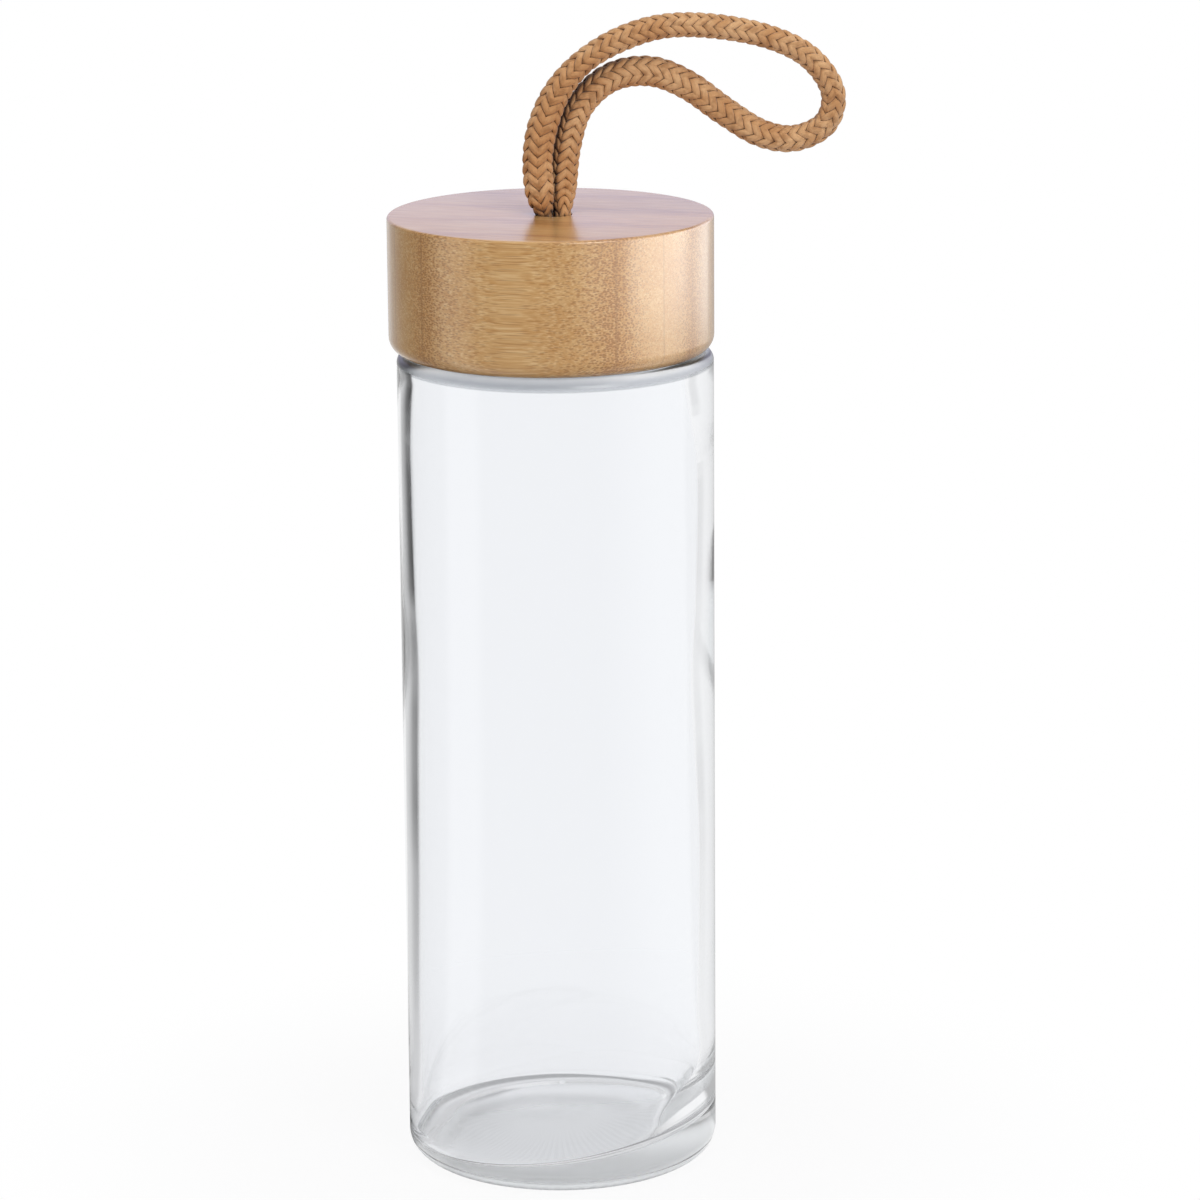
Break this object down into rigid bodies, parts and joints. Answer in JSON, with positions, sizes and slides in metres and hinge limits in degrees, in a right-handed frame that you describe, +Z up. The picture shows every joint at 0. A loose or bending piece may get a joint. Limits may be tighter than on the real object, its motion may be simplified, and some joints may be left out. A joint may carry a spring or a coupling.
{
  "type": "drink bottle",
  "caption": "Clear glass drink bottle with a screw-on bamboo lid, an inner cap with a sealing ring, and a carry loop of braided cord.",
  "frame": {"origin": "centre of the base, on the surface that the bottle stands on", "axes": "+Z up along the axis of the glass and its thread, +X towards the side that the cord loop leans to, -Y towards the viewer"},
  "size_m": [0.0892, 0.0636, 0.2302],
  "materials": {
    "glass": "clear polished",
    "bamboo": "varnished",
    "plastic": "translucent white",
    "silicone": "frosted",
    "cord": "braided"
  },
  "bodies": {
    "bottle": {"glass_bottle": "glass"},
    "seal": {"silicone_gasket": "silicone"},
    "lid": {"bamboo_lid": "bamboo", "threaded_liner": "plastic"},
    "knot": {"cord_knot": "cord"},
    "loop": {"carry_cord": "cord"}
  },
  "joints": [
    {"name": "lid_lift", "type": "slide", "parent": "bottle", "child": "seal", "axis": [0, 0, 1], "range_m": [0, 0.012]},
    {"name": "lid_turn", "type": "hinge", "parent": "seal", "child": "lid", "pos_m": [0, 0, 0.1775], "axis": [0, 0, 1], "range_deg": [0, 1080]},
    {"name": "cord_swivel", "type": "hinge", "parent": "lid", "child": "knot", "pos_m": [0, 0, 0.1825], "axis": [0, 0, 1], "range_deg": [-180, 180]},
    {"name": "cord_lean", "type": "hinge", "parent": "knot", "child": "loop", "pos_m": [0, 0, 0.1909], "axis": [0, 1, 0], "range_deg": [-70, 12], "stiffness_Nm_per_rad": 0.08, "deforming": ["carry_cord"]}
  ],
  "couplings": [
    {"joint": "lid_lift", "follows": "lid_turn", "m_per_rad": 0.00063662}
  ]
}
